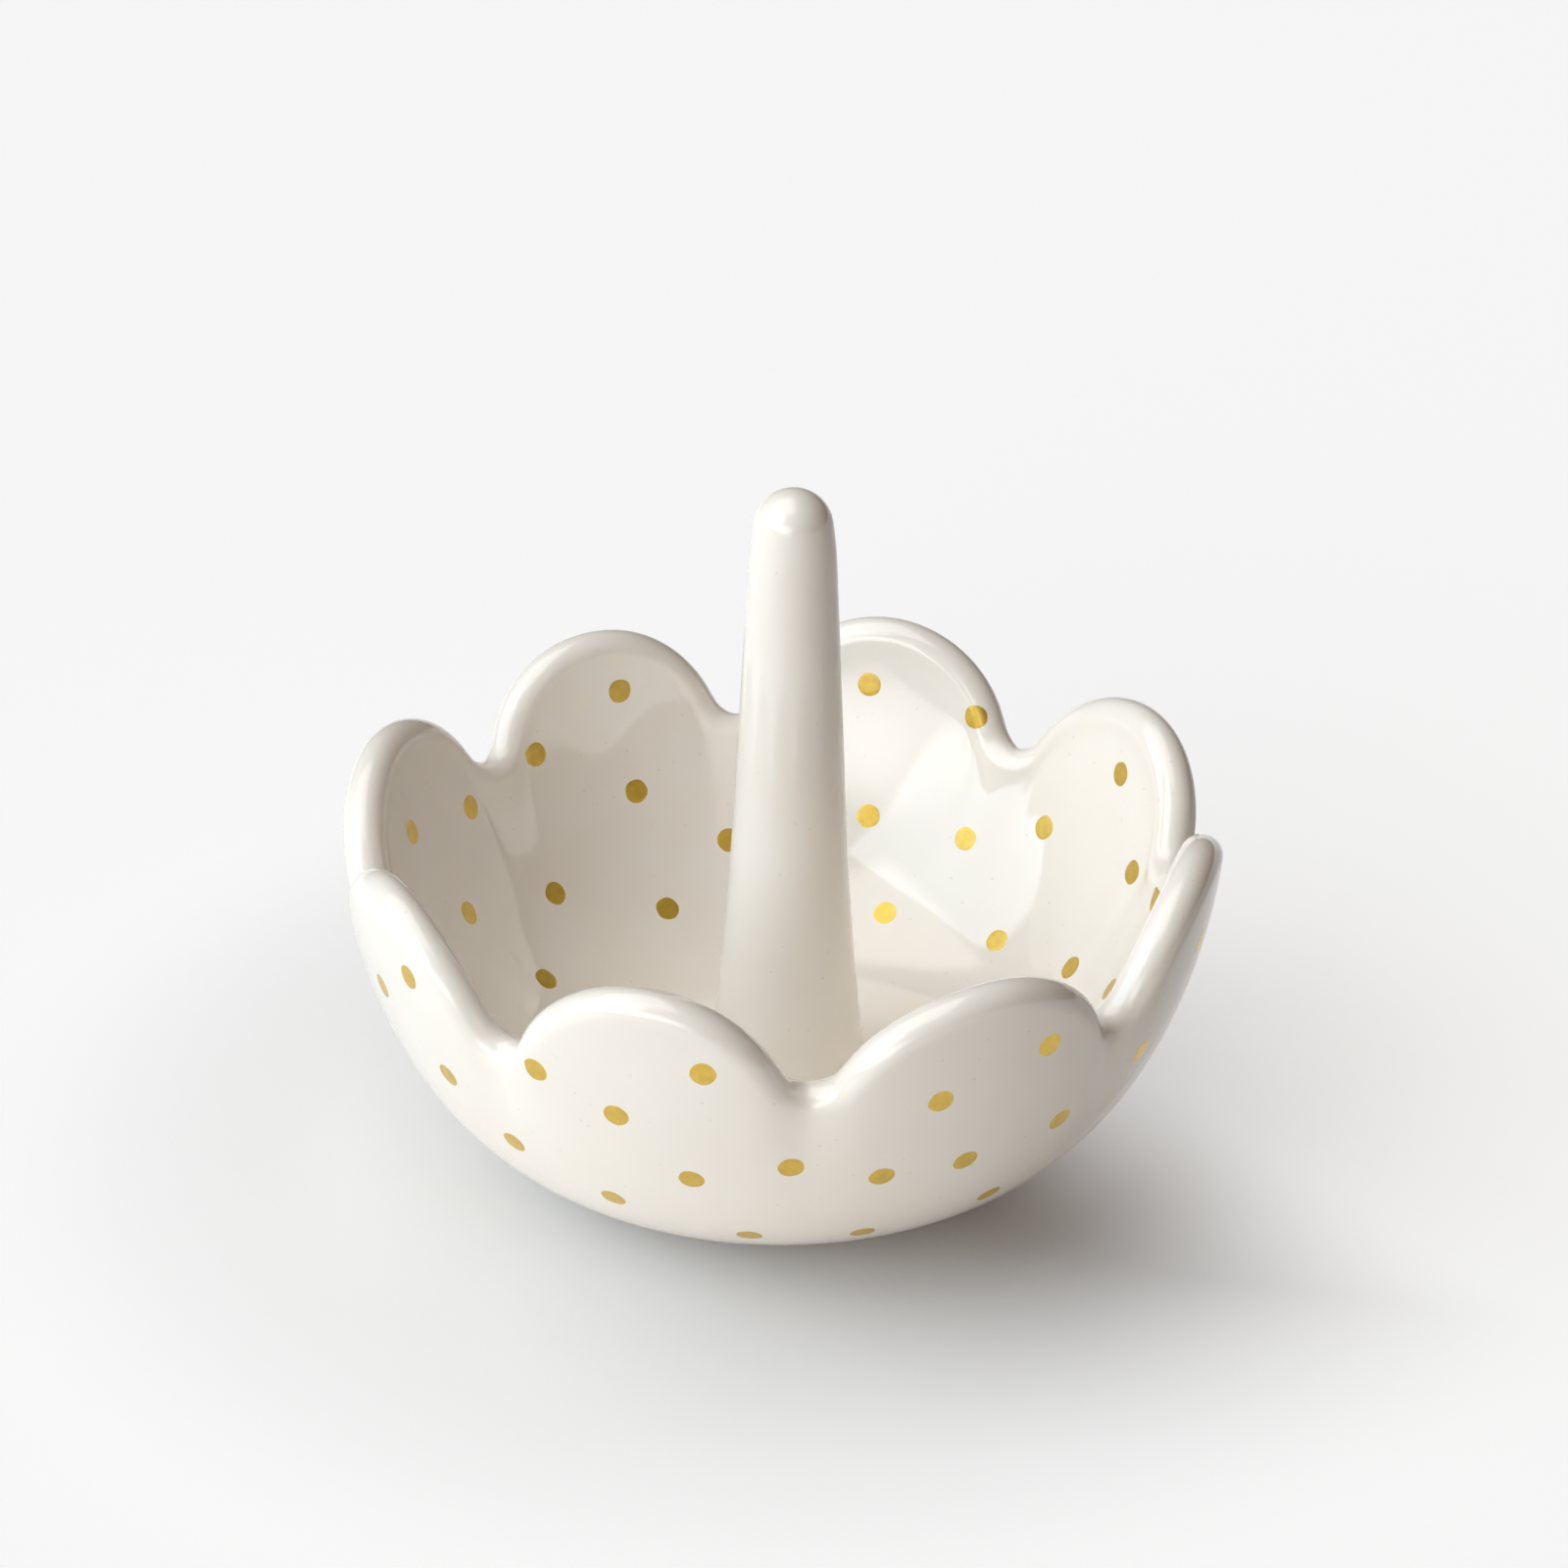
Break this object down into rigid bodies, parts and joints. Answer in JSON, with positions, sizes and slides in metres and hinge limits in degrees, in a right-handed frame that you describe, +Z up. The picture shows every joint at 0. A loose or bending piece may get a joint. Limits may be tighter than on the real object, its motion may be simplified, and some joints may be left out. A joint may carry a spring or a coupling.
{
  "type": "ring dish",
  "caption": "Glazed ceramic ring dish: a round bowl with a petal-cut rim and a tapered post in its middle that holds finger rings, with fired gold dots inside and out.",
  "frame": {"origin": "middle of the foot, on the surface that the dish stands on", "axes": "+Z up along the post, -Y towards the front as pictured, +X to the right seen from the front"},
  "size_m": [0.1005, 0.1004, 0.0819],
  "materials": {
    "cream_glaze": "gloss",
    "gold_lustre": "satin"
  },
  "bodies": {
    "root": {"dish": "cream_glaze", "ring_post": "cream_glaze", "slip_joint": "cream_glaze", "petal_1_outside_dots": "gold_lustre", "petal_1_inside_dots": "gold_lustre", "petal_2_outside_dots": "gold_lustre", "petal_2_inside_dots": "gold_lustre", "petal_3_outside_dots": "gold_lustre", "petal_3_inside_dots": "gold_lustre", "petal_4_outside_dots": "gold_lustre", "petal_4_inside_dots": "gold_lustre", "petal_5_outside_dots": "gold_lustre", "petal_5_inside_dots": "gold_lustre", "petal_6_outside_dots": "gold_lustre", "petal_6_inside_dots": "gold_lustre", "petal_7_outside_dots": "gold_lustre", "petal_7_inside_dots": "gold_lustre", "petal_8_outside_dots": "gold_lustre", "petal_8_inside_dots": "gold_lustre"}
  },
  "joints": []
}
